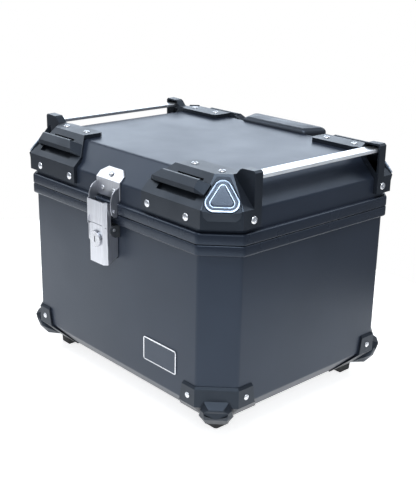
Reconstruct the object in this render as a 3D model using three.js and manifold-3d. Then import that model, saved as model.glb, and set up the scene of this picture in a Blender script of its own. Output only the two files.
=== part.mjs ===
// Aluminium motorcycle top case: hinged lid, draw latch with a key lock, moulded corners with
// tie-down loops, two side rails and a backrest pad. Millimetres, +Z up, latch on the -Y side.
import * as THREE from 'three';
import { mergeVertices } from 'three/addons/utils/BufferGeometryUtils.js';
import { ConvexGeometry } from 'three/addons/geometries/ConvexGeometry.js';
import Module from 'manifold-3d';

const wasm = await Module();
wasm.setup();

// ---------------------------------------------------------------- driving dimensions
const GAP = 0.3;                 // clearance between neighbouring pieces
const SHEET = 2;                 // aluminium wall thickness
const BODY_HALF_X = 209;         // outside of the sheet walls
const BODY_HALF_Y = 167.4;
const BODY_CORNER = 36.9;        // leg of the 45 degree corner
const RIM_OUT = 5.4;             // how far the rim bands stand outside the walls
const FLOOR_Z = 20.6;            // underside of the case floor, held up by the feet
const BEVEL_Z = 46.3;            // where the bottom bevel meets the walls
const BEVEL_IN = 22.8;
const RIM_LOW_Z = 243.7;
const SEAM_Z = 257.4;            // split between body and lid
const RIM_TOP_Z = 272.1;
const KNEE_Z = 298;              // lid wall turns into the sloping shoulder
const LID_TOP_Z = 329;
const SHOULDER_IN = 32;
const PLATE_OUT_X = 215.2;       // outside of the moulded lid corners
const PLATE_OUT_Y = 172.2;
const PLATE_CORNER = 35.4;
const PLATE_LOW_Z = 277.9;
const PLATE_KNEE_Z = 300.5;
const TAB_Z = 335;               // top face of the lid corners
const GUARD_OUT = 3.2;           // bottom corner guards stand this far outside the walls
const GUARD_TOP_Z = 72.2;
const GUARD_LOW_Z = 18.2;
const HINGE_Y = 177.2;           // lid hinge axis
const HINGE_X = 44;
const RIVET_HEAD = 4.75;         // head radius
const RIVET_SHANK = 2.4;
const RAIL_IN_X = 192;
const RAIL_OUT_X = 212;
const RAIL_LOW_Z = 334;
const RAIL_TOP_Z = 338.5;

// latch, drawn in the Y-Z plane
const LEVER_PIVOT = [-177.5, 238];
const LINK_PIVOT = [-183, 221];
const CATCH_PIN = [-178.2, 263];
const LATCH_FRONT = -189;        // front face of the lever
const LEVER_HALF = 18.5;         // the link's arms run outside the lever, the base outside the arms
const ARM_IN = LEVER_HALF + 0.4;
const BASE_IN = LEVER_HALF + 2.4;
const EAR_IN = LEVER_HALF + 4.1;
const SKIN = 1.6;                // stainless sheet of the latch
const LOCK_Z = 223.5;
const TONGUE_REACH = 16;         // short enough to turn between the lever's side flanges
const PIN_R = 2;

// ---------------------------------------------------------------- materials
function material(color, roughness, metalness) {
  return new THREE.MeshStandardMaterial({ color, roughness, metalness });
}
const PAINT = material(0x33383f, 0.42, 0.55);
const PAINT_RIM = material(0x2f343b, 0.38, 0.55);
const MOULDED = material(0x24272c, 0.55, 0.0);
const RUBBER = material(0x16171a, 0.85, 0.0);
const STAINLESS = material(0xc4c6ca, 0.3, 1.0);
const DARK_STEEL = material(0x3a3d42, 0.45, 0.9);
const BARE_ALUMINIUM = material(0xd6d8dc, 0.35, 1.0);
const RIVET_ALUMINIUM = material(0xdcdde0, 0.3, 1.0);
const PAD = material(0x1d2024, 0.6, 0.0);
const BADGE = material(0x9aa7b8, 0.3, 0.4);

// ---------------------------------------------------------------- solids
function solid(geometry) {
  const bare = geometry.clone();
  for (const name of Object.keys(bare.attributes)) {
    if (name !== 'position') bare.deleteAttribute(name);
  }
  const merged = mergeVertices(bare, 1e-4);
  return new wasm.Manifold(new wasm.Mesh({
    numProp: 3,
    vertProperties: new Float32Array(merged.attributes.position.array),
    triVerts: new Uint32Array(merged.index.array),
  }));
}

function extruded(points, from, to, basis) {
  const shape = new THREE.Shape(points.map(([a, b]) => new THREE.Vector2(a, b)));
  const geometry = new THREE.ExtrudeGeometry(shape, { depth: to - from, bevelEnabled: false });
  geometry.translate(0, 0, from);
  if (basis) geometry.applyMatrix4(basis);
  return solid(geometry);
}

const X_AXIS = new THREE.Vector3(1, 0, 0);
const Y_AXIS = new THREE.Vector3(0, 1, 0);
const Z_AXIS = new THREE.Vector3(0, 0, 1);
const ALONG_X = new THREE.Matrix4().makeBasis(Y_AXIS, Z_AXIS, X_AXIS);
const ALONG_Y = new THREE.Matrix4().makeBasis(Z_AXIS, X_AXIS, Y_AXIS);

// outline given as [y, z]
function prismX(points, from, to) {
  return extruded(points, from, to, ALONG_X);
}

// outline given as [x, z]
function prismY(points, from, to) {
  return extruded(points.map(([x, z]) => [z, x]), from, to, ALONG_Y);
}

// outline given as [x, y]
function prismZ(points, from, to) {
  return extruded(points, from, to, null);
}

function box(x0, x1, y0, y1, z0, z1) {
  const geometry = new THREE.BoxGeometry(x1 - x0, y1 - y0, z1 - z0);
  geometry.translate((x0 + x1) / 2, (y0 + y1) / 2, (z0 + z1) / 2);
  return solid(geometry);
}

// round bar between two points
function rod(start, end, radius, sides = 20) {
  const a = new THREE.Vector3(...start);
  const b = new THREE.Vector3(...end);
  const axis = b.clone().sub(a);
  const geometry = new THREE.CylinderGeometry(radius, radius, axis.length(), sides);
  geometry.applyQuaternion(new THREE.Quaternion().setFromUnitVectors(Y_AXIS, axis.clone().normalize()));
  geometry.translate(...a.add(b).multiplyScalar(0.5).toArray());
  return solid(geometry);
}

function hull(points) {
  return solid(new ConvexGeometry(points.map((p) => new THREE.Vector3(...p))));
}

// closed skin through rings that all have the same number of points, listed counterclockwise
function loft(rings) {
  const count = rings[0].length;
  const last = rings.length - 1;
  const positions = rings.flat(2);
  const index = [];
  for (let r = 0; r < last; r += 1) {
    for (let i = 0; i < count; i += 1) {
      const a = r * count + i;
      const b = r * count + (i + 1) % count;
      index.push(a, b, b + count, a, b + count, a + count);
    }
  }
  for (let i = 1; i < count - 1; i += 1) {
    index.push(0, i + 1, i);
    index.push(last * count, last * count + i, last * count + i + 1);
  }
  const geometry = new THREE.BufferGeometry();
  geometry.setAttribute('position', new THREE.Float32BufferAttribute(positions, 3));
  geometry.setIndex(index);
  return solid(geometry);
}

// eight-sided outline of the case at height z, moved inward by inset
function octagon(halfX, halfY, corner, inset, z) {
  const x = halfX - inset;
  const y = halfY - inset;
  const c = corner - inset * (2 - Math.SQRT2);
  return [
    [x, -(y - c), z], [x, y - c, z], [x - c, y, z], [-(x - c), y, z],
    [-x, y - c, z], [-x, -(y - c), z], [-(x - c), -y, z], [x - c, -y, z],
  ];
}

function caseLoft(levels) {
  return loft(levels.map(([inset, z]) => octagon(BODY_HALF_X, BODY_HALF_Y, BODY_CORNER, inset, z)));
}

function convexOutline(points) {
  const sorted = [...points].sort((p, q) => p[0] - q[0] || p[1] - q[1]);
  const turn = (o, a, b) => (a[0] - o[0]) * (b[1] - o[1]) - (a[1] - o[1]) * (b[0] - o[0]);
  const half = (list) => {
    const chain = [];
    for (const p of list) {
      while (chain.length > 1 && turn(chain[chain.length - 2], chain[chain.length - 1], p) <= 1e-6) {
        chain.pop();
      }
      chain.push(p);
    }
    chain.pop();
    return chain;
  };
  return [...half(sorted), ...half([...sorted].reverse())];
}

// outline drawn round a few circles given as [x, y, radius]
function aroundCircles(circles, grow = 0, steps = 20) {
  const points = [];
  for (const [x, y, r] of circles) {
    for (let i = 0; i < steps; i += 1) {
      const angle = (i / steps) * 2 * Math.PI;
      points.push([x + (r + grow) * Math.cos(angle), y + (r + grow) * Math.sin(angle)]);
    }
  }
  return convexOutline(points);
}

// ---------------------------------------------------------------- placing pieces
const group = new THREE.Group();
group.name = 'top_case';

function place(name, shape, look, mirrorX = 1, mirrorY = 1) {
  const mesh = shape.getMesh();
  const positions = new Float32Array(mesh.vertProperties.length);
  for (let i = 0; i < positions.length; i += 3) {
    positions[i] = mesh.vertProperties[i] * mirrorX;
    positions[i + 1] = mesh.vertProperties[i + 1] * mirrorY;
    positions[i + 2] = mesh.vertProperties[i + 2];
  }
  const index = Array.from(mesh.triVerts);
  if (mirrorX * mirrorY < 0) index.reverse();
  const geometry = new THREE.BufferGeometry();
  geometry.setAttribute('position', new THREE.BufferAttribute(positions, 3));
  geometry.setIndex(index);
  geometry.computeVertexNormals();
  const piece = new THREE.Mesh(geometry, look);
  piece.name = name;
  group.add(piece);
}

const CORNERS = [
  ['fl', -1, -1],
  ['fr', 1, -1],
  ['rl', -1, 1],
  ['rr', 1, 1],
];

// ---------------------------------------------------------------- body
const bodyOuter = caseLoft([[BEVEL_IN, FLOOR_Z], [0, BEVEL_Z], [0, SEAM_Z - 3.3]]);
const bodyInner = caseLoft([[BEVEL_IN + 0.8, FLOOR_Z + SHEET], [SHEET, BEVEL_Z + 0.8], [SHEET, SEAM_Z + 5]]);
place('body_shell', bodyOuter.subtract(bodyInner), PAINT);

// band that caps the cut edge of a wall: outer leg, web at the seam, inner leg
function rimBand(legEndZ, webZ) {
  const low = Math.min(legEndZ, webZ);
  const high = Math.max(legEndZ, webZ);
  const web = 3;
  const crown = caseLoft([[-RIM_OUT, low], [-RIM_OUT, high]]);
  const opening = caseLoft([[SHEET + GAP + 1.7, low - 1], [SHEET + GAP + 1.7, high + 1]]);
  const slotLow = webZ > legEndZ ? low - 1 : low + web;
  const slotHigh = webZ > legEndZ ? high - web : high + 1;
  const slot = caseLoft([[-GAP, slotLow], [-GAP, slotHigh]])
    .subtract(caseLoft([[SHEET + GAP, slotLow - 1], [SHEET + GAP, slotHigh + 1]]));
  return crown.subtract(opening).subtract(slot);
}
place('body_rim', rimBand(RIM_LOW_Z, SEAM_Z), PAINT_RIM);

// ---------------------------------------------------------------- lid
const lidOuter = caseLoft([
  [0, SEAM_Z + GAP + 3.3], [0, KNEE_Z], [SHOULDER_IN - 2.2, LID_TOP_Z - 1.3], [SHOULDER_IN, LID_TOP_Z],
]);
const lidInner = caseLoft([
  [SHEET, SEAM_Z - 5], [SHEET, KNEE_Z - 0.8], [SHOULDER_IN + 0.8, LID_TOP_Z - SHEET],
]);
place('lid_shell', lidOuter.subtract(lidInner), PAINT);

// groove in the underside of the lid band holds the seal
const sealRing = (outerInset, innerInset, low, high) => caseLoft([[outerInset, low], [outerInset, high]])
  .subtract(caseLoft([[innerInset, low - 1], [innerInset, high + 1]]));
const lidBand = rimBand(RIM_TOP_Z, SEAM_Z + GAP)
  .subtract(sealRing(-3, -0.2, SEAM_Z - 1, SEAM_Z + GAP + 2.2));
place('lid_rim', lidBand, PAINT_RIM);
place('lid_seal', sealRing(-2.8, -0.4, SEAM_Z + 0.2, SEAM_Z + GAP + 2), RUBBER);

// volume taken up by the lid with clearance round it
const lidRoom = caseLoft([
  [-GAP, 250], [-GAP, KNEE_Z + 0.15], [SHOULDER_IN - 2.5, LID_TOP_Z - 0.9],
  [SHOULDER_IN - GAP, LID_TOP_Z + GAP],
]);

// ---------------------------------------------------------------- moulded lid corners
// All four are drawn in the +X +Y corner and mirrored.
const plateLoft = (levels) => loft(
  levels.map(([inset, z]) => octagon(PLATE_OUT_X, PLATE_OUT_Y, PLATE_CORNER, inset, z)),
);
const cap = plateLoft([[0, PLATE_LOW_Z], [0, PLATE_KNEE_Z], [TAB_Z - PLATE_KNEE_Z, TAB_Z]]);
const footprint = prismZ([
  [72, 190], [72, 160.5], [97, 136.5], [97, 110], [101, 105], [172, 105], [177, 108], [230, 108], [230, 190],
], 270, 340);

// strap pocket sunk in the sloping plate behind the loop bar
const slopePoint = (y) => [y, PLATE_OUT_Y + PLATE_KNEE_Z - y];
const shifted = ([y, z], d) => [y + d, z + d];
const slopeBlock = (yLow, yHigh, depth, from, to) => prismX([
  shifted(slopePoint(yHigh), 3), shifted(slopePoint(yLow), 3),
  shifted(slopePoint(yLow), -depth), shifted(slopePoint(yHigh), -depth),
], from, to);
const pocket = slopeBlock(144.5, 157, 2.9, 109, 155.5).add(slopeBlock(155, 165.8, 2.9, 93, 163));

const loopBar = prismX([
  [160.4, 331], [157, 331], [155.6, 326], [163.2, 316.8], [167.3, 316.8], [167.3, 322.6],
], 98, 163);
const loopInnerEnd = hull([
  [96.7, 160.4, 331], [86.4, 167.3, 322.6], [88, 167.3, 317.5], [87, 147.5, 325], [87, 145.5, 322],
  [74, 159, 312.6], [74, 156.5, 311], [103, 160.4, 331], [103, 167.3, 322.6], [103, 167.3, 316.8],
  [103, 154, 316.8], [103, 145, 325],
]);
const loopOuterEnd = hull([
  [163, 160.4, 331], [163, 167.3, 322.6], [163, 167.3, 316.8], [161, 154, 316.8], [161, 145, 325],
  [175, 151.8, 326.2], [174.2, 162, 315.6], [174.2, 158.5, 311.5], [175, 148, 321],
]);

// raised seat for the badge on the corner's 45 degree face
const BADGE_TILT = Math.atan(0.79);
const seatNormal = new THREE.Vector3(
  Math.cos(BADGE_TILT) / Math.SQRT2, Math.cos(BADGE_TILT) / Math.SQRT2, Math.sin(BADGE_TILT),
);
const seatAcross = new THREE.Vector3(-1, 1, 0).normalize();
const seatUp = new THREE.Vector3().crossVectors(seatNormal, seatAcross);
const seatFrame = new THREE.Matrix4().makeBasis(seatAcross, seatUp, seatNormal)
  .setPosition(192.1, 149.1, 313.7);
const BADGE_CIRCLES = [[-8.9, -6.4, 11.4], [8.9, -6.4, 11.4], [0, 12.2, 10.4]];
const onSeat = (points, from, to) => extruded(points, from, to, seatFrame);
const seatPoint = ([a, b]) => new THREE.Vector3(a, b, -1.5).applyMatrix4(seatFrame).toArray();
// point near the 45 degree corner: distance from the case axis, distance along the face, height
const onPlateCorner = ([out, across, z]) => {
  const shift = (PLATE_OUT_X - PLATE_OUT_Y) / Math.SQRT2;
  return [(out + across + shift) / Math.SQRT2, (out - across - shift) / Math.SQRT2, z];
};
const bothSides = (points) => points.flatMap(([out, across, z]) => [[out, across, z], [out, -across, z]]);
const seat = hull([
  ...aroundCircles(BADGE_CIRCLES, 1.6).map(seatPoint),
  ...bothSides([
    [226, 7.5, 334.8], [225, 7.5, 326], [250.6, 23, 299.8], [249.6, 21.5, 292.4], [249.1, 16.5, 287.8],
    [240, 16.5, 287.8], [240, 23, 299.8],
  ]).map(onPlateCorner),
]);
const badgeRoom = onSeat(aroundCircles(BADGE_CIRCLES, 0.35), -1.5, 12);

// hollow post that carries the end of the side rail
const postProfile = [
  [176, 325], [178, 334.5], [184, 336], [190, 342.4], [194, 344.3], [212.4, 344.9], [215.2, 342.4],
  [215.2, 292],
  [206, 292],
];
const POST_LOW_Y = 108;
const POST_HIGH_Y = 120.5;
const railSocket = box(190.2, 212.4, POST_LOW_Y - 1, 118, RAIL_LOW_Z - GAP, 342.2);
const postHollow = prismY([[187.5, 330.4], [212.4, 330.4], [212.4, 305.5]], POST_LOW_Y - 1, 118);
const post = prismY(postProfile, POST_LOW_Y, POST_HIGH_Y);

// rivets of one corner: position and direction of the head
const CORNER_RIVETS = [
  ['top_in', [113.2, 121.8, TAB_Z], [0, 0, 1]],
  ['top_out', [161.7, 121.8, TAB_Z], [0, 0, 1]],
  ['wall_in', [83.4, PLATE_OUT_Y, 286.6], [0, 1, 0]],
  ['wall_out', [154.6, PLATE_OUT_Y, 286.6], [0, 1, 0]],
  ['side', [PLATE_OUT_X, 119.8, 287.4], [1, 0, 0]],
];
const along = (point, direction, distance) => point.map((value, i) => value + direction[i] * distance);

let corner = cap.intersect(footprint).subtract(pocket);
corner = corner.add(loopBar).add(loopInnerEnd).add(loopOuterEnd).add(seat).add(post);
corner = corner.subtract(railSocket).subtract(postHollow).subtract(lidRoom).subtract(badgeRoom);
for (const [, point, direction] of CORNER_RIVETS) {
  const drill = rod(along(point, direction, -9), along(point, direction, 1), RIVET_SHANK + 0.25, 12);
  corner = corner.subtract(drill);
}

function rivet(point, direction) {
  const profile = [
    [0, -3.6], [RIVET_SHANK, -3.6], [RIVET_SHANK, 0.1], [RIVET_HEAD, 0.1], [RIVET_HEAD, 0.5],
    [RIVET_HEAD * 0.72, 1.5], [RIVET_HEAD * 0.34, 1.9], [0, 1.9],
  ];
  const geometry = new THREE.LatheGeometry(profile.map(([r, h]) => new THREE.Vector2(r, h)), 12);
  const turn = new THREE.Quaternion().setFromUnitVectors(Y_AXIS, new THREE.Vector3(...direction));
  geometry.applyQuaternion(turn);
  geometry.translate(...point);
  return solid(geometry);
}

// rounded three-sided badge with a raised border and a low dome
const badge = onSeat(aroundCircles(BADGE_CIRCLES), -1.2, 0.6)
  .subtract(onSeat(aroundCircles(BADGE_CIRCLES, -2.4), -0.2, 1.2))
  .add(onSeat(aroundCircles(BADGE_CIRCLES, -6), -0.8, 0.4));

for (const [tag, sx, sy] of CORNERS) {
  place(`lid_corner_${tag}`, corner, MOULDED, sx, sy);
  place(`badge_${tag}`, badge, BADGE, sx, sy);
  for (const [spot, point, direction] of CORNER_RIVETS) {
    place(`rivet_${tag}_${spot}`, rivet(point, direction), RIVET_ALUMINIUM, sx, sy);
  }
}

// ---------------------------------------------------------------- side rails
const railProfile = [
  [RAIL_IN_X, RAIL_LOW_Z], [RAIL_OUT_X, RAIL_LOW_Z], [RAIL_OUT_X, 334.9], [RAIL_OUT_X - 0.5, 335.2],
  [RAIL_OUT_X, 335.5], [RAIL_OUT_X, 336.2], [RAIL_OUT_X - 0.5, 336.5], [RAIL_OUT_X, 336.8],
  [RAIL_OUT_X, RAIL_TOP_Z - 0.7], [RAIL_OUT_X - 1, RAIL_TOP_Z], [RAIL_IN_X + 1, RAIL_TOP_Z],
  [RAIL_IN_X, RAIL_TOP_Z - 0.7],
];
const rail = prismY(railProfile, -117.6, 117.6);
place('rail_left', rail, BARE_ALUMINIUM, -1, 1);
place('rail_right', rail, BARE_ALUMINIUM);

// ---------------------------------------------------------------- backrest pad
const padSection = (halfFront, halfBack, inset, lift) => [
  [-halfFront, 130 + inset], [halfFront, 130 + inset], [halfBack, 171.5 - inset], [-halfBack, 171.5 - inset],
].map(([x, y]) => [x, y, lift]);
const pad = loft([
  padSection(62, 75, 0, 317), padSection(62, 75, 0, 330), padSection(61, 73, 1.2, 335.5),
  padSection(58, 69, 4, 337.8),
]).subtract(lidRoom);
place('backrest_pad', pad, PAD);

// ---------------------------------------------------------------- bottom corner guards and feet
const bodyRoom = caseLoft([[BEVEL_IN - GAP, FLOOR_Z - GAP], [-GAP, BEVEL_Z - 0.1], [-GAP, 90]]);
const guardSkin = caseLoft([
  [BEVEL_IN + 0.8, GUARD_LOW_Z], [-GUARD_OUT, BEVEL_Z - 1.6], [-GUARD_OUT, GUARD_TOP_Z - 3.2],
  [-0.6, GUARD_TOP_Z],
]);
const reachAt = (x, y, z) => [[x, y, z], [260, y, z], [260, 220, z], [x, 220, z]];
const guardReach = loft([
  reachAt(116, 73, GUARD_LOW_Z - 1), reachAt(145.4, 103.8, BEVEL_Z), reachAt(150.4, 107.8, GUARD_TOP_Z + 1),
]);
// nose on the 45 degree corner, with a three-sided hollow in its front
const onBodyCorner = ([out, across, z]) => {
  const shift = (BODY_HALF_X - BODY_HALF_Y) / Math.SQRT2;
  return [(out + across + shift) / Math.SQRT2, (out - across - shift) / Math.SQRT2, z];
};
const nose = hull(bothSides([
  [238, 15, 56], [244.6, 15, 52.5], [254.5, 8.9, 47.6], [254.5, 8.9, 45.6], [247, 19.6, 43.6],
  [251.5, 15.5, 42],
  [243, 20.8, 32.6], [247.5, 14.4, 30], [241.5, 14, 24], [236, 13, 18.2], [226, 13, 18.2], [214, 16, 18.2],
  [236, 22, 30],
]).map(onBodyCorner));
const noseFrame = new THREE.Matrix4().makeBasis(
  seatAcross.clone().negate(), Z_AXIS, new THREE.Vector3(-1, -1, 0).normalize(),
).setPosition(...onBodyCorner([0, 0, 0]));
const HOLLOW_CIRCLES = [[-12, 39.4, 3.2], [12, 39.4, 3.2], [0, 34, 2.6]];
const hollow = extruded(aroundCircles(HOLLOW_CIRCLES), -262, -248.4, noseFrame);
const guard = guardSkin.intersect(guardReach).add(nose).subtract(hollow).subtract(bodyRoom);

const footAt = (x0, x1, y0, y1, cut, z) => [
  [x0, y0, z], [x1, y0, z], [x1, y1 - cut, z], [x1 - cut, y1, z], [x0, y1, z],
];
const foot = loft([
  footAt(155.6, 174.2, 112, 133.2, 2.6, 0), footAt(154.8, 175, 111.2, 134, 2.6, 1),
  footAt(153.3, 176, 109.3, 135, 3, GUARD_LOW_Z - GAP),
]);
for (const [tag, sx, sy] of CORNERS) {
  place(`corner_guard_${tag}`, guard, MOULDED, sx, sy);
  place(`foot_${tag}`, foot, RUBBER, sx, sy);
}

// ---------------------------------------------------------------- plate that bolts the case to a rack
const rackPlate = box(-105, 105, -75, 75, 17.3, FLOOR_Z - GAP);
const slots = [[-1, -1], [1, -1], [-1, 1], [1, 1]].map(([sx, sy]) => prismZ(
  aroundCircles([[sx * 60, sy * 50, 3.5], [sx * 80, sy * 50, 3.5]], 0, 12), 10, 30,
));
place('rack_plate', slots.reduce((plate, slot) => plate.subtract(slot), rackPlate), DARK_STEEL);

// ---------------------------------------------------------------- rear hinges
const leafThick = 1.8;
// leaf cranked round a rim band of the given height, below the seam (sign -1) or above it (+1)
function leafLine(sign, band) {
  const inner = BODY_HALF_Y + GAP;
  const line = [
    [inner, 45.4], [inner + leafThick, 45.4], [inner + leafThick, band + 7.2], [HINGE_Y - 2.2, band + 0.7],
    [HINGE_Y - 1, 2], [HINGE_Y - 3.6, 1], [HINGE_Y - 4, band + 0.3], [inner, band + 5.2],
  ].map(([y, rise]) => [y, SEAM_Z + sign * rise]);
  return sign < 0 ? line : line.reverse();
}
const bodyLeafLine = leafLine(-1, SEAM_Z - RIM_LOW_Z);
const lidLeafLine = leafLine(1, RIM_TOP_Z - SEAM_Z);
function hingeLeaf(line, knuckles, halfWidth) {
  let leaf = prismX(line, HINGE_X - halfWidth, HINGE_X + halfWidth);
  const clear = halfWidth + 1;
  leaf = leaf.subtract(rod([HINGE_X - clear, HINGE_Y, SEAM_Z], [HINGE_X + clear, HINGE_Y, SEAM_Z], 4.3, 24));
  for (const [from, to] of knuckles) {
    const barrel = rod([from, HINGE_Y, SEAM_Z], [to, HINGE_Y, SEAM_Z], 4, 24);
    const root = prismX(line.filter(([, z]) => Math.abs(z - SEAM_Z) < 16), from, to);
    leaf = leaf.add(barrel).add(root);
  }
  const pinBore = rod([HINGE_X - 40, HINGE_Y, SEAM_Z], [HINGE_X + 40, HINGE_Y, SEAM_Z], PIN_R + 0.25, 16);
  return leaf.subtract(pinBore);
}
const outerKnuckles = [[HINGE_X - 24, HINGE_X - 10.2], [HINGE_X + 10.2, HINGE_X + 24]];
const innerKnuckle = [[HINGE_X - 9.8, HINGE_X + 9.8]];
const bodyLeaf = hingeLeaf(bodyLeafLine, outerKnuckles, 24);
const lidLeaf = hingeLeaf(lidLeafLine, innerKnuckle, 24);
const hingePin = rod([HINGE_X - 25.5, HINGE_Y, SEAM_Z], [HINGE_X + 25.5, HINGE_Y, SEAM_Z], PIN_R, 16);
for (const [side, sx] of [['left', -1], ['right', 1]]) {
  place(`hinge_body_leaf_${side}`, bodyLeaf, DARK_STEEL, sx, 1);
  place(`hinge_lid_leaf_${side}`, lidLeaf, DARK_STEEL, sx, 1);
  place(`hinge_pin_${side}`, hingePin, STAINLESS, sx, 1);
}

// ---------------------------------------------------------------- catch on the lid
const both = (make) => make(1).add(make(-1));
const between = (sign, a, b) => [Math.min(sign * a, sign * b), Math.max(sign * a, sign * b)];
const wallY = -(BODY_HALF_Y + GAP);
const slopeLength = Math.hypot(SHOULDER_IN, LID_TOP_Z - KNEE_Z);
const slopeDir = [SHOULDER_IN / slopeLength, (LID_TOP_Z - KNEE_Z) / slopeLength];
const up = 18;
const catchSheet = prismX([
  [wallY, 276], [wallY, KNEE_Z], [wallY + slopeDir[0] * up, KNEE_Z + slopeDir[1] * up],
  [wallY + slopeDir[0] * up - 1.1, KNEE_Z + slopeDir[1] * up + 1.1], [wallY - SKIN, KNEE_Z + 0.6],
  [wallY - SKIN, 276],
], -24.8, 24.8);
const catchTrim = both((s) => hull([
  [s * 14, -170, 312], [s * 14, -150, 312], [s * 30, -170, 302], [s * 30, -150, 302],
  [s * 30, -170, 318], [s * 30, -150, 318], [s * 14, -150, 318], [s * 14, -170, 318],
]));
const earLine = [
  [wallY, 293], [-171, 292.6], [-176.3, 290], [-180, 285.5], [-182.3, 279.5], [-183.4, 272], [-183.2, 264],
  [-181, 258], [-178, 255.2], [-174, 254.4], [-172.9, 256], [-172.9, 273.2], [wallY, 274.5],
];
const ears = both((s) => prismX(earLine, ...between(s, EAR_IN, EAR_IN + SKIN)))
  .add(both((s) => prismX([[wallY - SKIN, 276], [wallY, 276], [wallY, 293], [wallY - SKIN, 293]],
    ...between(s, EAR_IN - 1, EAR_IN + SKIN))));
const pinHole = rod([-40, ...CATCH_PIN], [40, ...CATCH_PIN], PIN_R + 0.25, 16);
const catchPlate = catchSheet.subtract(catchTrim).add(ears).subtract(lidRoom);
place('latch_catch', catchPlate.subtract(pinHole), STAINLESS);
place('catch_pin', rod([-26.2, ...CATCH_PIN], [26.2, ...CATCH_PIN], PIN_R, 16), STAINLESS);

// ---------------------------------------------------------------- latch on the body
const leverHole = (radius) => rod([-40, ...LEVER_PIVOT], [40, ...LEVER_PIVOT], radius, 16);

// sheet bent round a flat front with a 45 degree fold down each side; outline given as [x, y]
function channel(halfFlat, half, front, back, from, to) {
  const fold = half - halfFlat;
  const inFold = SKIN * (Math.SQRT2 - 1);
  return prismZ([
    [halfFlat, front], [half, front + fold], [half, back], [half - SKIN, back],
    [half - SKIN, front + fold + inFold], [halfFlat - inFold, front + SKIN],
    [inFold - halfFlat, front + SKIN], [SKIN - half, front + fold + inFold], [SKIN - half, back],
    [-half, back], [-half, front + fold], [-halfFlat, front],
  ], from, to);
}

const baseBack = box(-LEVER_HALF + 2, LEVER_HALF - 2, wallY - SKIN, wallY, 196, 243)
  .add(box(-BASE_IN - SKIN, BASE_IN + SKIN, wallY - SKIN, wallY, 226.5, 243));
const baseFlange = [
  [wallY, 226.5], [-176, 227.4], [-180, 230], [-182.6, 234.5], [-182.6, 238], [-180.6, 241.6], [-177, 243],
  [wallY, 243],
];
const keeper = prismX([
  [wallY, 200], [LATCH_FRONT + 3.8, 200], [LATCH_FRONT + 3.8, 211], [LATCH_FRONT + 5.4, 211],
  [LATCH_FRONT + 5.4, 201.6], [wallY, 201.6],
], -6, 6);
const baseFlanges = both((s) => prismX(baseFlange, ...between(s, BASE_IN, BASE_IN + SKIN)));
const latchBase = baseBack.add(baseFlanges).add(keeper)
  .subtract(leverHole(PIN_R + 0.25));
place('latch_base', latchBase, DARK_STEEL);

// lever: folded sheet with a rounded head, side flanges with studs for the link
const leverHead = prismY(convexOutline([
  ...aroundCircles([[-9.5, 233.6, 9.4], [9.5, 233.6, 9.4]], 0, 24),
  [-20, 236], [20, 236], [-20, 188], [20, 188],
]), -192, -183.4);
const leverSide = [
  [-192, 190.2], [-184, 190.2], [-168.2, 199.4], [-168.2, 225], [-170, 226], [-170, 234], [-171, 240],
  [-175, 242],
  [-183.4, 242.4], [-192, 244],
];
const leverSheet = channel(13.8, LEVER_HALF, LATCH_FRONT, -168, 190, 244)
  .intersect(prismX(leverSide, -25, 25));
const leverFront = leverSheet.intersect(leverHead);
const leverFlanges = leverSheet.intersect(box(-25, 25, -183.9, -160, 180, 250));
const lockHole = rod([0, -200, LOCK_Z], [0, -160, LOCK_Z], 8.3, 24);
const studEnds = [LEVER_HALF - 1, ARM_IN + SKIN];
const stud = (s) => rod([s * studEnds[0], ...LINK_PIVOT], [s * studEnds[1], ...LINK_PIVOT], PIN_R, 16);
const lever = leverFront.add(leverFlanges).add(both(stud))
  .subtract(leverHole(PIN_R + 0.25)).subtract(lockHole);
place('latch_lever', lever, STAINLESS);

// lock: flange and barrel with a key slot, and a tongue behind the lever. It is drawn unlocked, with the
// tongue lying across; a quarter turn brings the tongue down behind the keeper's lip.
const lockFlange = rod([0, LATCH_FRONT - 3, LOCK_Z], [0, LATCH_FRONT - 0.3, LOCK_Z], 11, 24);
const lockBarrel = rod([0, LATCH_FRONT - 2, LOCK_Z], [0, LATCH_FRONT + 7.6, LOCK_Z], 8, 24);
const keySlot = box(-0.9, 0.9, LATCH_FRONT - 5, LATCH_FRONT + 2, LOCK_Z - 3.7, LOCK_Z + 3.7);
const lockTongue = box(-TONGUE_REACH, 0, LATCH_FRONT + 6, LATCH_FRONT + 7.6, LOCK_Z - 3, LOCK_Z + 3);
place('lock_cylinder', lockFlange.add(lockBarrel).add(lockTongue).subtract(keySlot), BARE_ALUMINIUM);

// link: cover over the lever's head with an arched opening, a panel behind the opening, and two arms
// that turn on the lever's studs and hook over the catch pin
const COVER_FRONT = LATCH_FRONT - 2;
const COVER_LOW = 241.6;
const armLine = [
  [-179.8, 217.8], [-179.8, 224.5], [-180.5, 228], [-180.5, 265.8], [-176, 265.8], [-176, 269.6],
  [-178, 271.5], [-186.3, 274.4], [-186.3, 217.8],
];
const arms = both((s) => prismX(armLine, ...between(s, ARM_IN, ARM_IN + SKIN)));
const arch = prismY(convexOutline([
  ...aroundCircles([[-8.2, 247.4, 6.8], [8.2, 247.4, 6.8]], 0, 24),
  [-15.4, COVER_LOW - 2], [15.4, COVER_LOW - 2],
]), -195, -187.5);
const cover = channel(15.9, ARM_IN + SKIN, COVER_FRONT, -185.6, COVER_LOW, 274.8).subtract(arch);
const coverPanel = box(-16.5, 16.5, COVER_FRONT + SKIN - 0.05, COVER_FRONT + SKIN + 1.1, 243.9, 256);
const linkHole = rod([-40, ...LINK_PIVOT], [40, ...LINK_PIVOT], PIN_R + 0.25, 16);
place('latch_link', cover.add(coverPanel).add(arms).subtract(linkHole), STAINLESS);

place('lever_pin', rod([-24.2, ...LEVER_PIVOT], [24.2, ...LEVER_PIVOT], PIN_R, 16), STAINLESS);

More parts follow.
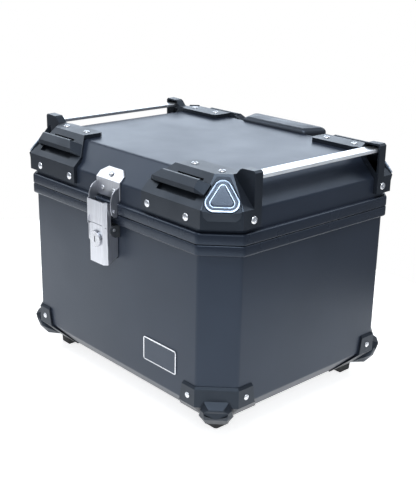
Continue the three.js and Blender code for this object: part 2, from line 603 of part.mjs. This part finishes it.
// ---------------------------------------------------------------- name plate without lettering
const plateBoard = (grow, y0, y1) => prismY(
  aroundCircles([[74, 76, 3], [132.5, 76, 3], [132.5, 102.5, 3], [74, 102.5, 3]], grow, 16), y0, y1,
);
const namePlate = plateBoard(0, wallY - 1.3, wallY).subtract(plateBoard(-1.6, wallY - 2, wallY - 0.8));
place('name_plate', namePlate, BADGE);

export default group;
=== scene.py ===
"""Looks of the aluminium motorcycle top case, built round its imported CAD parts.

Everything is in metres in the CAD frame: +X right along the latch face, +Y to the hinges, +Z up.
"""

import math

import bmesh
import bpy
from mathutils import Matrix, Vector


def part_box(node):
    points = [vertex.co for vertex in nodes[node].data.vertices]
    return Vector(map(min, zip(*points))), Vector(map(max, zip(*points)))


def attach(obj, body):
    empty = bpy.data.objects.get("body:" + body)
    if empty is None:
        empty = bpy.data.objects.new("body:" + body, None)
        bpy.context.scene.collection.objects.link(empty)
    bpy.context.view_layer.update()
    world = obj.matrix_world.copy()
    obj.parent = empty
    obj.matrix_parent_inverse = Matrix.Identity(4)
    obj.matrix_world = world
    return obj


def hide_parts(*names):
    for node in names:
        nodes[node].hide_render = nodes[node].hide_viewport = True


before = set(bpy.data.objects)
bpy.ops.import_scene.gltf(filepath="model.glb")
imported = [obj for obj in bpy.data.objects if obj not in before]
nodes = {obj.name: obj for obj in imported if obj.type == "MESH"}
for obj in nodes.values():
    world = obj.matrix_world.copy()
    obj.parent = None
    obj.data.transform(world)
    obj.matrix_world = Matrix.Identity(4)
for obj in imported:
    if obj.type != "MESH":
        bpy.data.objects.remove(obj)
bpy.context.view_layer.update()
MM = 0.001
CORNERS = (("fl", -1, -1), ("fr", 1, -1), ("rl", -1, 1), ("rr", 1, 1))


# ------------------------------------------------------------ camera
VIEW_AZIMUTH = math.radians(47.32)
VIEW_ELEVATION = math.radians(19.29)
VIEW_ROLL = math.radians(1.23)
VIEW_POINT = Vector((0.91029, -0.83220, 0.59826))
LENS = 65.27                     # for a sensor 36 mm wide


def make_camera():
    away = Vector((
        math.sin(VIEW_AZIMUTH) * math.cos(VIEW_ELEVATION),
        -math.cos(VIEW_AZIMUTH) * math.cos(VIEW_ELEVATION),
        math.sin(VIEW_ELEVATION),
    ))
    right = Vector((0, 0, 1)).cross(away).normalized()
    up = away.cross(right)
    turn = Matrix((right, up, away)).transposed() @ Matrix.Rotation(VIEW_ROLL, 3, "Z")
    data = bpy.data.cameras.new("camera")
    data.sensor_width = 36
    data.lens = LENS
    data.clip_end = 60
    camera = bpy.data.objects.new("camera", data)
    camera.matrix_world = Matrix.Translation(VIEW_POINT) @ turn.to_4x4()
    bpy.context.scene.collection.objects.link(camera)
    bpy.context.scene.camera = camera


make_camera()


# ------------------------------------------------------------ material helpers
class Look:
    """A Principled material and the few node patterns that the looks here share."""

    def __init__(self, name, color, roughness, metallic=0.0, **sockets):
        self.material = bpy.data.materials.new(name)
        self.material.use_nodes = True
        self.tree = self.material.node_tree
        self.shader = self.tree.nodes["Principled BSDF"]
        self.shader.inputs["Base Color"].default_value = (*color, 1)
        self.shader.inputs["Roughness"].default_value = roughness
        self.shader.inputs["Metallic"].default_value = metallic
        for socket, value in sockets.items():
            self.shader.inputs[socket.replace("_", " ")].default_value = value
        self.place = self.tree.nodes.new("ShaderNodeTexCoord").outputs["Object"]
        self.height = None

    def link(self, source, target):
        self.tree.links.new(source, target)

    def stretched(self, scale):
        mapping = self.tree.nodes.new("ShaderNodeMapping")
        mapping.inputs["Scale"].default_value = scale
        self.link(self.place, mapping.inputs["Vector"])
        return mapping.outputs["Vector"]

    def noise(self, scale, detail=3.0, roughness=0.5, stretch=(1, 1, 1)):
        node = self.tree.nodes.new("ShaderNodeTexNoise")
        node.inputs["Scale"].default_value = scale
        node.inputs["Detail"].default_value = detail
        node.inputs["Roughness"].default_value = roughness
        self.link(self.stretched(stretch), node.inputs["Vector"])
        return node.outputs["Fac"]

    def cells(self, scale):
        node = self.tree.nodes.new("ShaderNodeTexVoronoi")
        node.feature = "SMOOTH_F1"
        node.inputs["Scale"].default_value = scale
        self.link(self.place, node.inputs["Vector"])
        return node.outputs["Distance"]

    def ranged(self, value, low, high, start=0.3, end=0.7):
        node = self.tree.nodes.new("ShaderNodeMapRange")
        node.inputs["From Min"].default_value = start
        node.inputs["From Max"].default_value = end
        node.inputs["To Min"].default_value = low
        node.inputs["To Max"].default_value = high
        self.link(value, node.inputs["Value"])
        return node.outputs["Result"]

    def colors(self, value, stops):
        node = self.tree.nodes.new("ShaderNodeValToRGB")
        ramp = node.color_ramp
        while len(ramp.elements) < len(stops):
            ramp.elements.new(0.5)
        for element, (position, color) in zip(ramp.elements, stops):
            element.position = position
            element.color = (*color, 1)
        self.link(value, node.inputs["Fac"])
        self.link(node.outputs["Color"], self.shader.inputs["Base Color"])

    def rough(self, value, low, high, start=0.3, end=0.7):
        self.link(self.ranged(value, low, high, start, end), self.shader.inputs["Roughness"])

    def bump(self, value, depth):
        """Adds relief of this depth in metres on top of the relief so far."""
        node = self.tree.nodes.new("ShaderNodeBump")
        node.inputs["Distance"].default_value = depth
        node.inputs["Strength"].default_value = 1.0
        self.link(value, node.inputs["Height"])
        if self.height is not None:
            self.link(self.height, node.inputs["Normal"])
        self.height = node.outputs["Normal"]
        self.link(self.height, self.shader.inputs["Normal"])


def shade(color, factor):
    return tuple(c * factor for c in color)


# ------------------------------------------------------------ materials
COOL_GLOSS = (0.66, 0.80, 1.0, 1.0)  # the dark finishes reflect a cool, bluish light


def make_paint(name, color, low, high):
    """Satin powder coat: fine orange peel, and a faint cloudiness in tone and gloss."""
    look = Look(name, color, 0.4, IOR=1.44, Specular_Tint=COOL_GLOSS)
    look.colors(look.noise(9, 4), [(0.3, shade(color, 0.9)), (0.7, shade(color, 1.1))])
    look.rough(look.noise(14, 5), low, high, 0.25, 0.75)
    look.bump(look.noise(1400, 2), 0.00002)
    look.bump(look.noise(230, 2), 0.00003)
    return look.material


def make_moulded():
    """Glass-filled nylon: neutral dark grey with a spark-eroded grain."""
    color = (0.010, 0.012, 0.016)
    look = Look("moulded_nylon", color, 0.44, IOR=1.44, Specular_Tint=COOL_GLOSS)
    look.colors(look.noise(40, 5), [(0.3, shade(color, 0.85)), (0.7, shade(color, 1.2))])
    look.rough(look.noise(22, 4), 0.34, 0.44)
    look.bump(look.noise(1900, 3, 0.7), 0.00004)
    return look.material


def make_rubber():
    color = (0.014, 0.015, 0.016)
    look = Look("rubber", color, 0.8, IOR=1.5)
    look.colors(look.noise(60, 4), [(0.3, color), (0.75, (0.026, 0.027, 0.028))])
    look.rough(look.noise(35, 4), 0.7, 0.9)
    look.bump(look.noise(900, 3), 0.00006)
    return look.material


def make_brushed(name, color, low, high, stretch):
    """Metal brushed along the axis whose stretch is small."""
    look = Look(name, color, 0.3, 1.0)
    streaks = look.noise(600, 3, 0.6, stretch)
    look.colors(streaks, [(0.3, shade(color, 0.86)), (0.7, shade(color, 1.06))])
    look.rough(look.noise(420, 4, 0.6, stretch), low, high)
    look.bump(streaks, 0.00002)
    return look.material


def make_cast(name, color, low, high):
    look = Look(name, color, 0.35, 1.0)
    look.colors(look.noise(160, 4), [(0.3, shade(color, 0.9)), (0.7, shade(color, 1.05))])
    look.rough(look.noise(300, 4), low, high)
    look.bump(look.noise(1200, 2), 0.00002)
    return look.material


def make_pad():
    """Moulded foam skin: dull, with a fine leather grain."""
    color = (0.02, 0.0225, 0.028)
    look = Look("pad_skin", color, 0.5, IOR=1.46, Specular_Tint=COOL_GLOSS)
    look.colors(look.noise(25, 4), [(0.3, shade(color, 0.9)), (0.7, shade(color, 1.15))])
    look.rough(look.noise(30, 4), 0.34, 0.44)
    look.bump(look.cells(1100), 0.00008)
    look.bump(look.noise(300, 3), 0.00006)
    return look.material


PAINT_TONE = (0.017, 0.022, 0.034)
paint = make_paint("powder_coat", PAINT_TONE, 0.34, 0.42)
rim_paint = make_paint("powder_coat_rim", shade(PAINT_TONE, 0.8), 0.22, 0.30)
moulded = make_moulded()
rubber = make_rubber()
stainless = make_brushed("brushed_stainless", (0.60, 0.61, 0.65), 0.30, 0.42, (1, 1, 0.03))
rail_metal = make_brushed("brushed_aluminium", (0.86, 0.87, 0.89), 0.26, 0.38, (1, 0.02, 1))
rivet_metal = make_cast("rivet_aluminium", (0.74, 0.75, 0.78), 0.24, 0.36)
lock_metal = make_cast("lock_zinc", (0.50, 0.51, 0.54), 0.20, 0.32)
dark_steel = make_paint("black_zinc", (0.035, 0.037, 0.04), 0.35, 0.5)
pad_skin = make_pad()
bezel_metal = make_cast("badge_bezel", (0.27, 0.33, 0.42), 0.28, 0.38)
badge_face = make_paint("badge_face", (0.030, 0.037, 0.052), 0.2, 0.28)


# ------------------------------------------------------------ carried-over CAD nodes
def finish_node(name, material, width=0.0, segments=2, angle=28):
    """Gives a CAD node its material and, by modifiers alone, small rounded edges."""
    piece = nodes[name]
    piece.data.materials.clear()
    piece.data.materials.append(material)
    weld = piece.modifiers.new("weld", "WELD")
    weld.merge_threshold = 1e-6
    if width:
        flat = piece.modifiers.new("flat", "DECIMATE")
        flat.decimate_type = "DISSOLVE"
        flat.angle_limit = math.radians(0.5)
        bevel = piece.modifiers.new("bevel", "BEVEL")
        bevel.width = width * MM
        bevel.segments = segments
        bevel.limit_method = "ANGLE"
        bevel.angle_limit = math.radians(angle)
        bevel.miter_outer = "MITER_ARC"
    normals = piece.modifiers.new("normals", "WEIGHTED_NORMAL")
    normals.keep_sharp = True


finish_node("lid_seal", rubber, 0.3)
for tag, _, _ in CORNERS:
    finish_node(f"lid_corner_{tag}", moulded, 0.7)
    finish_node(f"corner_guard_{tag}", moulded, 0.8)
    finish_node(f"foot_{tag}", rubber, 0.8)
for side in ("left", "right"):
    finish_node(f"rail_{side}", rail_metal, 0.15)
    finish_node(f"hinge_body_leaf_{side}", dark_steel, 0.3)
    finish_node(f"hinge_lid_leaf_{side}", dark_steel, 0.3)
    finish_node(f"hinge_pin_{side}", stainless, 0.3)
for name in ("latch_catch", "latch_lever", "latch_link"):
    finish_node(name, stainless, 0.35)
for name in ("catch_pin", "lever_pin"):
    finish_node(name, stainless, 0.3)
finish_node("lock_cylinder", lock_metal, 0.3)
finish_node("latch_base", dark_steel, 0.3)
finish_node("rack_plate", dark_steel, 0.5)


# ------------------------------------------------------------ pieces made here
def make_piece(name, form, body, materials, smooth_angle=30):
    """Turns a bmesh into a smooth-shaded piece that rides on a CAD body."""
    bmesh.ops.recalc_face_normals(form, faces=form.faces)
    mesh = bpy.data.meshes.new(name)
    form.to_mesh(mesh)
    form.free()
    mesh.shade_smooth()
    mesh.set_sharp_from_angle(angle=math.radians(smooth_angle))
    for material in materials:
        mesh.materials.append(material)
    piece = bpy.data.objects.new(name, mesh)
    bpy.context.scene.collection.objects.link(piece)
    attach(piece, body)
    return piece


def bridge(form, rings, material_of=None):
    """Faces between closed rings of points; returns the rings of vertices."""
    made = [[form.verts.new(point) for point in ring] for ring in rings]
    for level, (lower, upper) in enumerate(zip(made, made[1:])):
        for i in range(len(lower)):
            j = (i + 1) % len(lower)
            face = form.faces.new((lower[i], lower[j], upper[j], upper[i]))
            if material_of:
                face.material_index = material_of(level)
    return made


def arc_between(before, corner, after, radius, steps):
    """Points of the arc that rounds a corner of a line of 2-D points."""
    corner = Vector(corner)
    start = (Vector(before) - corner).normalized()
    end = (Vector(after) - corner).normalized()
    half = start.angle(end) / 2
    if abs(half - math.pi / 2) < 0.02:
        return [corner.copy() for _ in range(steps + 1)]
    centre = corner + (start + end).normalized() * (radius / math.sin(half))
    first = corner + start * (radius / math.tan(half)) - centre
    last = corner + end * (radius / math.tan(half)) - centre
    turn = first.angle_signed(last)
    return [centre + Matrix.Rotation(-turn * i / steps, 2) @ first for i in range(steps + 1)]


def rounded_line(points, radii, steps):
    """Open line of 2-D points with its inner corners rounded."""
    line = [Vector(points[0])]
    for i in range(1, len(points) - 1):
        line += arc_between(points[i - 1], points[i], points[i + 1], radii[i - 1], steps)
    return line + [Vector(points[-1])]


def rounded_outline(points, radius, steps):
    """Closed outline of 2-D points with every corner rounded."""
    outline = []
    count = len(points)
    for i in range(count):
        outline += arc_between(points[i - 1], points[i], points[(i + 1) % count], radius, steps)
    return outline


# ------------------------------------------------------------ sheet walls of the case
BODY_HALF_X = 209
BODY_HALF_Y = 167.4
BODY_CORNER = 36.9
SHEET = 2
FLOOR_Z = 20.6
BEVEL_Z = 46.3
BEVEL_IN = 22.8
SEAM_Z = 257.4
KNEE_Z = 298
SHOULDER_IN = 32
LID_TOP_Z = 329
WALL_BEND = 7                    # radius of the bends between the walls


def case_ring(inset, z):
    """Octagon of the case walls with bent corners, inset from the outside of the walls."""
    x = BODY_HALF_X - inset
    y = BODY_HALF_Y - inset
    c = BODY_CORNER - inset * (2 - math.sqrt(2))
    corners = [
        (x, c - y), (x, y - c), (x - c, y), (c - x, y), (-x, y - c), (-x, c - y), (c - x, -y), (x - c, -y),
    ]
    bend = max(WALL_BEND - 0.15 * inset, 2)
    return [Vector((*point, z)) * MM for point in rounded_outline(corners, bend, 6)]


def sheet_box(name, outside, inside, edge_radii, body):
    """Closed skin through an outside and an inside profile, each given as (inset, z) from its flat end."""
    outer = rounded_line(outside, edge_radii, 6)
    inner = rounded_line(inside, [max(radius - SHEET, 1) for radius in edge_radii], 6)
    form = bmesh.new()
    rings = bridge(form, [case_ring(inset, z) for inset, z in outer + inner[::-1]])
    form.faces.new(rings[0])
    form.faces.new(rings[-1])
    piece = make_piece(name, form, body, [paint])
    return piece


def make_shells():
    body_top = SEAM_Z - 3.3
    body = sheet_box(
        "case_walls",
        [(BEVEL_IN + 9, FLOOR_Z), (BEVEL_IN, FLOOR_Z), (0, BEVEL_Z), (0, body_top)],
        [(BEVEL_IN + 9, FLOOR_Z + SHEET), (BEVEL_IN + 0.8, FLOOR_Z + SHEET), (SHEET, BEVEL_Z + 0.8),
         (SHEET, body_top)],
        (5, 5), "case",
    )
    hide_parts("body_shell")
    lid_low = SEAM_Z + 3.6
    lid = sheet_box(
        "lid_walls",
        [(SHOULDER_IN + 20, LID_TOP_Z), (SHOULDER_IN, LID_TOP_Z), (0, KNEE_Z), (0, lid_low)],
        [(SHOULDER_IN + 20, LID_TOP_Z - SHEET), (SHOULDER_IN + 0.8, LID_TOP_Z - SHEET), (SHEET, KNEE_Z - 0.8),
         (SHEET, lid_low)],
        (9, 5), "lid",
    )
    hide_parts("lid_shell")


make_shells()


# ------------------------------------------------------------ rim bands
RIM_OUT = 5.4
RIM_LOW_Z = 243.7
RIM_TOP_Z = 272.1
RIM_GAP = 0.3                    # half of the joint between the two bands


def make_rim(name, low, high, top_round, low_round, body, node):
    """Pressed band round the walls with soft outer edges."""
    inner = SHEET + 1.6
    section = [(inner, low), (-RIM_OUT, low), (-RIM_OUT, high), (inner, high)]
    line = rounded_line(section, (low_round, top_round), 5)
    form = bmesh.new()
    made = bridge(form, [case_ring(inset, z) for inset, z in line])
    count = len(made[0])
    for i in range(count):
        j = (i + 1) % count
        form.faces.new((made[-1][i], made[-1][j], made[0][j], made[0][i]))
    piece = make_piece(name, form, body, [rim_paint], 40)
    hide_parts(node)


make_rim("body_band", RIM_LOW_Z, SEAM_Z - RIM_GAP, 1.6, 2.4, "case", "body_rim")
make_rim("lid_band", SEAM_Z + RIM_GAP, RIM_TOP_Z, 3.4, 1.6, "lid", "lid_rim")


# ------------------------------------------------------------ blind rivets
RIVET_R = 4.75
HEAD_HEIGHT = 1.9                # of a CAD rivet head over the surface it sits on
GUARD_RIVET = 0.8                # size of the smaller rivets against those of the lid corners
SMALL_RIVET = 0.75
RIVET_PROFILE = (
    (RIVET_R - 0.5, -0.3), (RIVET_R, 0.15), (RIVET_R - 0.1, 0.6), (RIVET_R - 0.7, 1.05), (3.1, 1.5),
    (2.0, 1.75), (1.35, 1.8), (1.25, 1.5), (1.15, 1.2), (1.0, 1.3), (0.4, 1.4),
)


def make_rivet(name, spot, direction, body, size=1.0, replaced=None):
    """Domed blind rivet with the broken mandrel sitting in its middle; spot is on the surface, in mm."""
    turn = Vector((0, 0, 1)).rotation_difference(Vector(direction)).to_matrix()
    form = bmesh.new()
    rings = []
    for radius, height in RIVET_PROFILE:
        around = [2 * math.pi * i / 28 for i in range(28)]
        rings.append([
            (Vector(spot) + turn @ Vector((radius * math.cos(a), radius * math.sin(a), height)) * size) * MM
            for a in around
        ])
    made = bridge(form, rings)
    form.faces.new(made[0])
    form.faces.new(made[-1])
    piece = make_piece(name, form, body, [rivet_metal], 50)
    if replaced:
        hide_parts(replaced)


def make_corner_rivets():
    """Heads of the rivets that hold the moulded lid corners, where the CAD has them."""
    for tag, sx, sy in CORNERS:
        for spot, axis, sign in (
            ("top_in", 2, 1), ("top_out", 2, 1), ("wall_in", 1, sy), ("wall_out", 1, sy), ("side", 0, sx),
        ):
            node = f"rivet_{tag}_{spot}"
            low, high = (Vector(corner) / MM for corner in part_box(node))
            centre = (low + high) / 2
            centre[axis] = (high if sign > 0 else low)[axis] - sign * HEAD_HEIGHT
            direction = [0, 0, 0]
            direction[axis] = sign
            make_rivet(f"head_{tag}_{spot}", centre, direction, "lid", 1.0, node)


def make_guard_rivets():
    for tag, sx, sy in CORNERS:
        wall_spot = (sx * 160.5, sy * 170.7, 56.8)
        side_spot = (sx * 212.3, sy * 118.7, 56.9)
        make_rivet(f"guard_rivet_{tag}_wall", wall_spot, (0, sy, 0), "case", GUARD_RIVET)
        make_rivet(f"guard_rivet_{tag}_side", side_spot, (sx, 0, 0), "case", GUARD_RIVET)


def make_hardware_rivets():
    """Rivets of the catch and of the hinge leaves."""
    catch = -(BODY_HALF_Y + 1.9)
    for side, x in (("left", -11.5), ("right", 11.5)):
        make_rivet(f"catch_rivet_{side}", (x, catch, 285.5), (0, -1, 0), "lid", SMALL_RIVET)
    make_rivet("catch_rivet_top", (0, -163.9, 305.4), (0, -0.7, 0.72), "lid", SMALL_RIVET)
    leaf = BODY_HALF_Y + 2.1
    for side, x in (("left", -44), ("right", 44)):
        for end, dx in (("in", -14), ("out", 14)):
            low = (x + dx, leaf, 222)
            high = (x + dx, leaf, 290)
            make_rivet(f"hinge_rivet_{side}_{end}_low", low, (0, 1, 0), "case", SMALL_RIVET)
            make_rivet(f"hinge_rivet_{side}_{end}_high", high, (0, 1, 0), "lid", SMALL_RIVET)


make_corner_rivets()
make_guard_rivets()
make_hardware_rivets()


# ------------------------------------------------------------ badges and name plate
BADGE_TILT = math.atan(0.79)
BADGE_CENTRE = Vector((192.1, 149.1, 313.7))
BADGE_CORNERS = ((-8.9, -6.4, 11.4), (8.9, -6.4, 11.4), (0, 12.2, 10.4))


def circles_outline(circles, grow, steps=72):
    """Convex outline round some circles, by its support points."""
    points = []
    for i in range(steps):
        angle = 2 * math.pi * i / steps
        out = Vector((math.cos(angle), math.sin(angle)))
        reach = [Vector((x, y)) + out * (radius + grow) for x, y, radius in circles]
        points.append(max(reach, key=lambda point: point.dot(out)))
    return points


def plaque(name, circles, levels, place, body, materials, material_of, node):
    """Low plaque built of growing and shrinking outlines, each level (grow, height)."""
    form = bmesh.new()
    rings = []
    for grow, height in levels:
        rings.append([place(*point, height) * MM for point in circles_outline(circles, grow)])
    made = bridge(form, rings, material_of)
    form.faces.new(made[0])
    cap = form.faces.new(made[-1])
    cap.material_index = 1
    piece = make_piece(name, form, body, materials, 40)
    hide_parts(node)
    return piece


BADGE_LEVELS = (
    (-0.2, -1.1), (0, -0.8), (0, 0.2), (-0.4, 0.55), (-2.1, 0.55), (-2.5, 0.3), (-2.8, -0.4),
    (-5.4, -0.4), (-5.6, 0.05), (-6.5, 0.05), (-6.8, -0.3), (-8.4, 0.1), (-9, 0.1),
)


def badge_material(level):
    """Metal, 0, for the bezel and the thin raised line; the dark face, 1, for the rest."""
    return 0 if level < 6 or 7 <= level <= 9 else 1


def make_badges():
    """Light bezel round a dark dish with a thin raised line; its middle is left plain."""
    across = Vector((-1, 1, 0)).normalized()
    normal = Vector((math.cos(BADGE_TILT) / math.sqrt(2),) * 2 + (math.sin(BADGE_TILT),))
    upward = normal.cross(across)
    for tag, sx, sy in CORNERS:
        def place(a, b, height, sx=sx, sy=sy):
            point = BADGE_CENTRE + across * a + upward * b + normal * height
            return Vector((sx * point.x, sy * point.y, point.z))

        plaque(
            f"corner_badge_{tag}", BADGE_CORNERS, BADGE_LEVELS, place, "lid", [bezel_metal, badge_face],
            badge_material, f"badge_{tag}",
        )


PLATE_CORNERS = ((74, 76, 3), (132.5, 76, 3), (132.5, 102.5, 3), (74, 102.5, 3))
PLATE_LEVELS = (
    (-0.2, 0.02), (0, 0.2), (0, 0.9), (-0.3, 1.2), (-1.3, 1.2), (-1.6, 0.95), (-1.8, 0.7), (-2.2, 0.7),
)


def make_name_plate():
    """Blank plate: a bright border round a dark field."""
    def place(x, z, height):
        return Vector((x, -(BODY_HALF_Y + 0.3) - height, z))

    plaque(
        "blank_name_plate", PLATE_CORNERS, PLATE_LEVELS, place, "case", [rivet_metal, badge_face],
        lambda level: 0 if level < 5 else 1, "name_plate",
    )


make_badges()
make_name_plate()


# ------------------------------------------------------------ backrest pad
PAD_FRONT_Y = 130
PAD_BACK_Y = 171.2
PAD_TOP_Z = 337.6
PAD_SHOULDER_Z = 329             # its sides stand straight up to here
PAD_SHOULDER_R = 8
PAD_CROWN = 1.2                  # how much the top rises inside the shoulder


def trim_to_lid(piece):
    """Cuts away whatever of the piece lies under the lid's outer skin, so that it rests on the skin."""
    rest = 0.4
    line = [
        (90, LID_TOP_Z + rest), (BODY_HALF_Y - SHOULDER_IN + rest, LID_TOP_Z + rest),
        (BODY_HALF_Y + rest, KNEE_Z + rest), (BODY_HALF_Y + rest, KNEE_Z - 40), (90, KNEE_Z - 40),
    ]
    form = bmesh.new()
    made = bridge(form, [[Vector((x, y, z)) * MM for y, z in line] for x in (-95, 95)])
    form.faces.new(made[0])
    form.faces.new(made[-1])
    bmesh.ops.recalc_face_normals(form, faces=form.faces)
    mesh = bpy.data.meshes.new("lid_below")
    form.to_mesh(mesh)
    form.free()
    cutter = bpy.data.objects.new("lid_below", mesh)
    bpy.context.scene.collection.objects.link(cutter)
    cut = piece.modifiers.new("cut", "BOOLEAN")
    cut.operation = "DIFFERENCE"
    cut.solver = "EXACT"
    cut.object = cutter
    bpy.context.view_layer.update()
    depsgraph = bpy.context.evaluated_depsgraph_get()
    trimmed = bpy.data.meshes.new_from_object(piece.evaluated_get(depsgraph))
    piece.modifiers.clear()
    piece.data = trimmed
    trimmed.set_sharp_from_angle(angle=math.radians(50))
    bpy.data.objects.remove(cutter)


def make_backrest_pad():
    """Moulded foam pad: a tapered cushion with soft shoulders and a slightly crowned top."""
    levels = [(5, 317.6), (1.2, 318.6), (0.2, 321), (0, 325), (0, PAD_SHOULDER_Z)]
    rise = PAD_TOP_Z - PAD_CROWN - PAD_SHOULDER_Z
    for i in range(1, 9):
        turn = math.pi / 2 * i / 8
        levels.append((PAD_SHOULDER_R * (1 - math.cos(turn)), PAD_SHOULDER_Z + rise * math.sin(turn)))
    for inset in (11, 14, 17):
        levels.append((inset, PAD_TOP_Z - PAD_CROWN + PAD_CROWN * (inset - PAD_SHOULDER_R) / 9))
    form = bmesh.new()
    rings = []
    for inset, z in levels:
        low = PAD_FRONT_Y + inset
        high = PAD_BACK_Y - inset
        corners = [
            (inset * 1.1 - 62, low), (62 - inset * 1.1, low),
            (74.8 - inset * 1.25, high), (inset * 1.25 - 74.8, high),
        ]
        outline = rounded_outline(corners, max(6 - inset * 0.3, 1.5), 6)
        rings.append([Vector((*point, z)) * MM for point in outline])
    made = bridge(form, rings)
    form.faces.new(made[0])
    form.faces.new(made[-1])
    pad = make_piece("backrest_cushion", form, "lid", [pad_skin], 60)
    trim_to_lid(pad)
    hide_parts("backrest_pad")


make_backrest_pad()


# ------------------------------------------------------------ light and floor
def make_world():
    """Plain pale studio; what the camera sees past the floor is pure white."""
    world = bpy.data.worlds.new("studio")
    bpy.context.scene.world = world
    world.use_nodes = True
    tree = world.node_tree
    tree.nodes.clear()
    lit = tree.nodes.new("ShaderNodeBackground")
    lit.inputs["Color"].default_value = (0.86, 0.92, 1, 1)
    lit.inputs["Strength"].default_value = 0.36
    seen = tree.nodes.new("ShaderNodeBackground")
    seen.inputs["Color"].default_value = (1, 1, 1, 1)
    seen.inputs["Strength"].default_value = 1.0
    rays = tree.nodes.new("ShaderNodeLightPath")
    mix = tree.nodes.new("ShaderNodeMixShader")
    tree.links.new(rays.outputs["Is Camera Ray"], mix.inputs["Fac"])
    tree.links.new(lit.outputs["Background"], mix.inputs[1])
    tree.links.new(seen.outputs["Background"], mix.inputs[2])
    output = tree.nodes.new("ShaderNodeOutputWorld")
    tree.links.new(mix.outputs["Shader"], output.inputs["Surface"])


def area_light(name, spot, target, size, power, color=(0.9, 0.95, 1)):
    data = bpy.data.lights.new(name, "AREA")
    data.shape = "RECTANGLE"
    data.size, data.size_y = size
    data.energy = power
    data.color = color
    lamp = bpy.data.objects.new(name, data)
    lamp.location = spot
    lamp.rotation_euler = (Vector(target) - Vector(spot)).to_track_quat("-Z", "Y").to_euler()
    lamp.visible_camera = False
    bpy.context.scene.collection.objects.link(lamp)


FLOOR_RADIUS = 0.8
FLOOR_CENTRE = (-0.08, -0.3, -0.0002)   # in front of the latch side, a hair below the feet
FLOOR_GLOW = 0.8                 # lifts the floor to the white of the world past its rim


def make_floor():
    """Pale floor; past its rim the equally white world shows."""
    mesh = bpy.data.meshes.new("floor")
    form = bmesh.new()
    bmesh.ops.create_circle(form, cap_ends=True, segments=64, radius=FLOOR_RADIUS)
    form.to_mesh(mesh)
    form.free()
    floor = bpy.data.objects.new("floor", mesh)
    floor.location = FLOOR_CENTRE
    bpy.context.scene.collection.objects.link(floor)
    look = Look("floor_white", (0.7, 0.69, 0.67), 0.9)
    look.shader.inputs["Emission Color"].default_value = (1, 1, 1, 1)
    look.shader.inputs["Emission Strength"].default_value = FLOOR_GLOW
    floor.data.materials.append(look.material)


make_world()
make_floor()
bpy.context.scene.view_settings.view_transform = "Standard"
area_light("overhead", (0.45, -0.55, 2.2), (0, 0, 0.2), (1.1, 1.1), 44)
area_light("left_high", (-2.0, -0.9, 2.0), (0, 0, 0.3), (1.5, 1.5), 19)
area_light("back_left", (-1.9, 1.9, 1.25), (0, 0, 0.3), (2.4, 1.1), 28, (0.78, 0.88, 1))
area_light("back_right", (0.9, 1.9, 2.2), (0, 0, 0.3), (1.0, 1.0), 11)
area_light("beside_camera", (1.9, -1.6, 1.9), (0, 0, 0.2), (1.2, 1.0), 16)
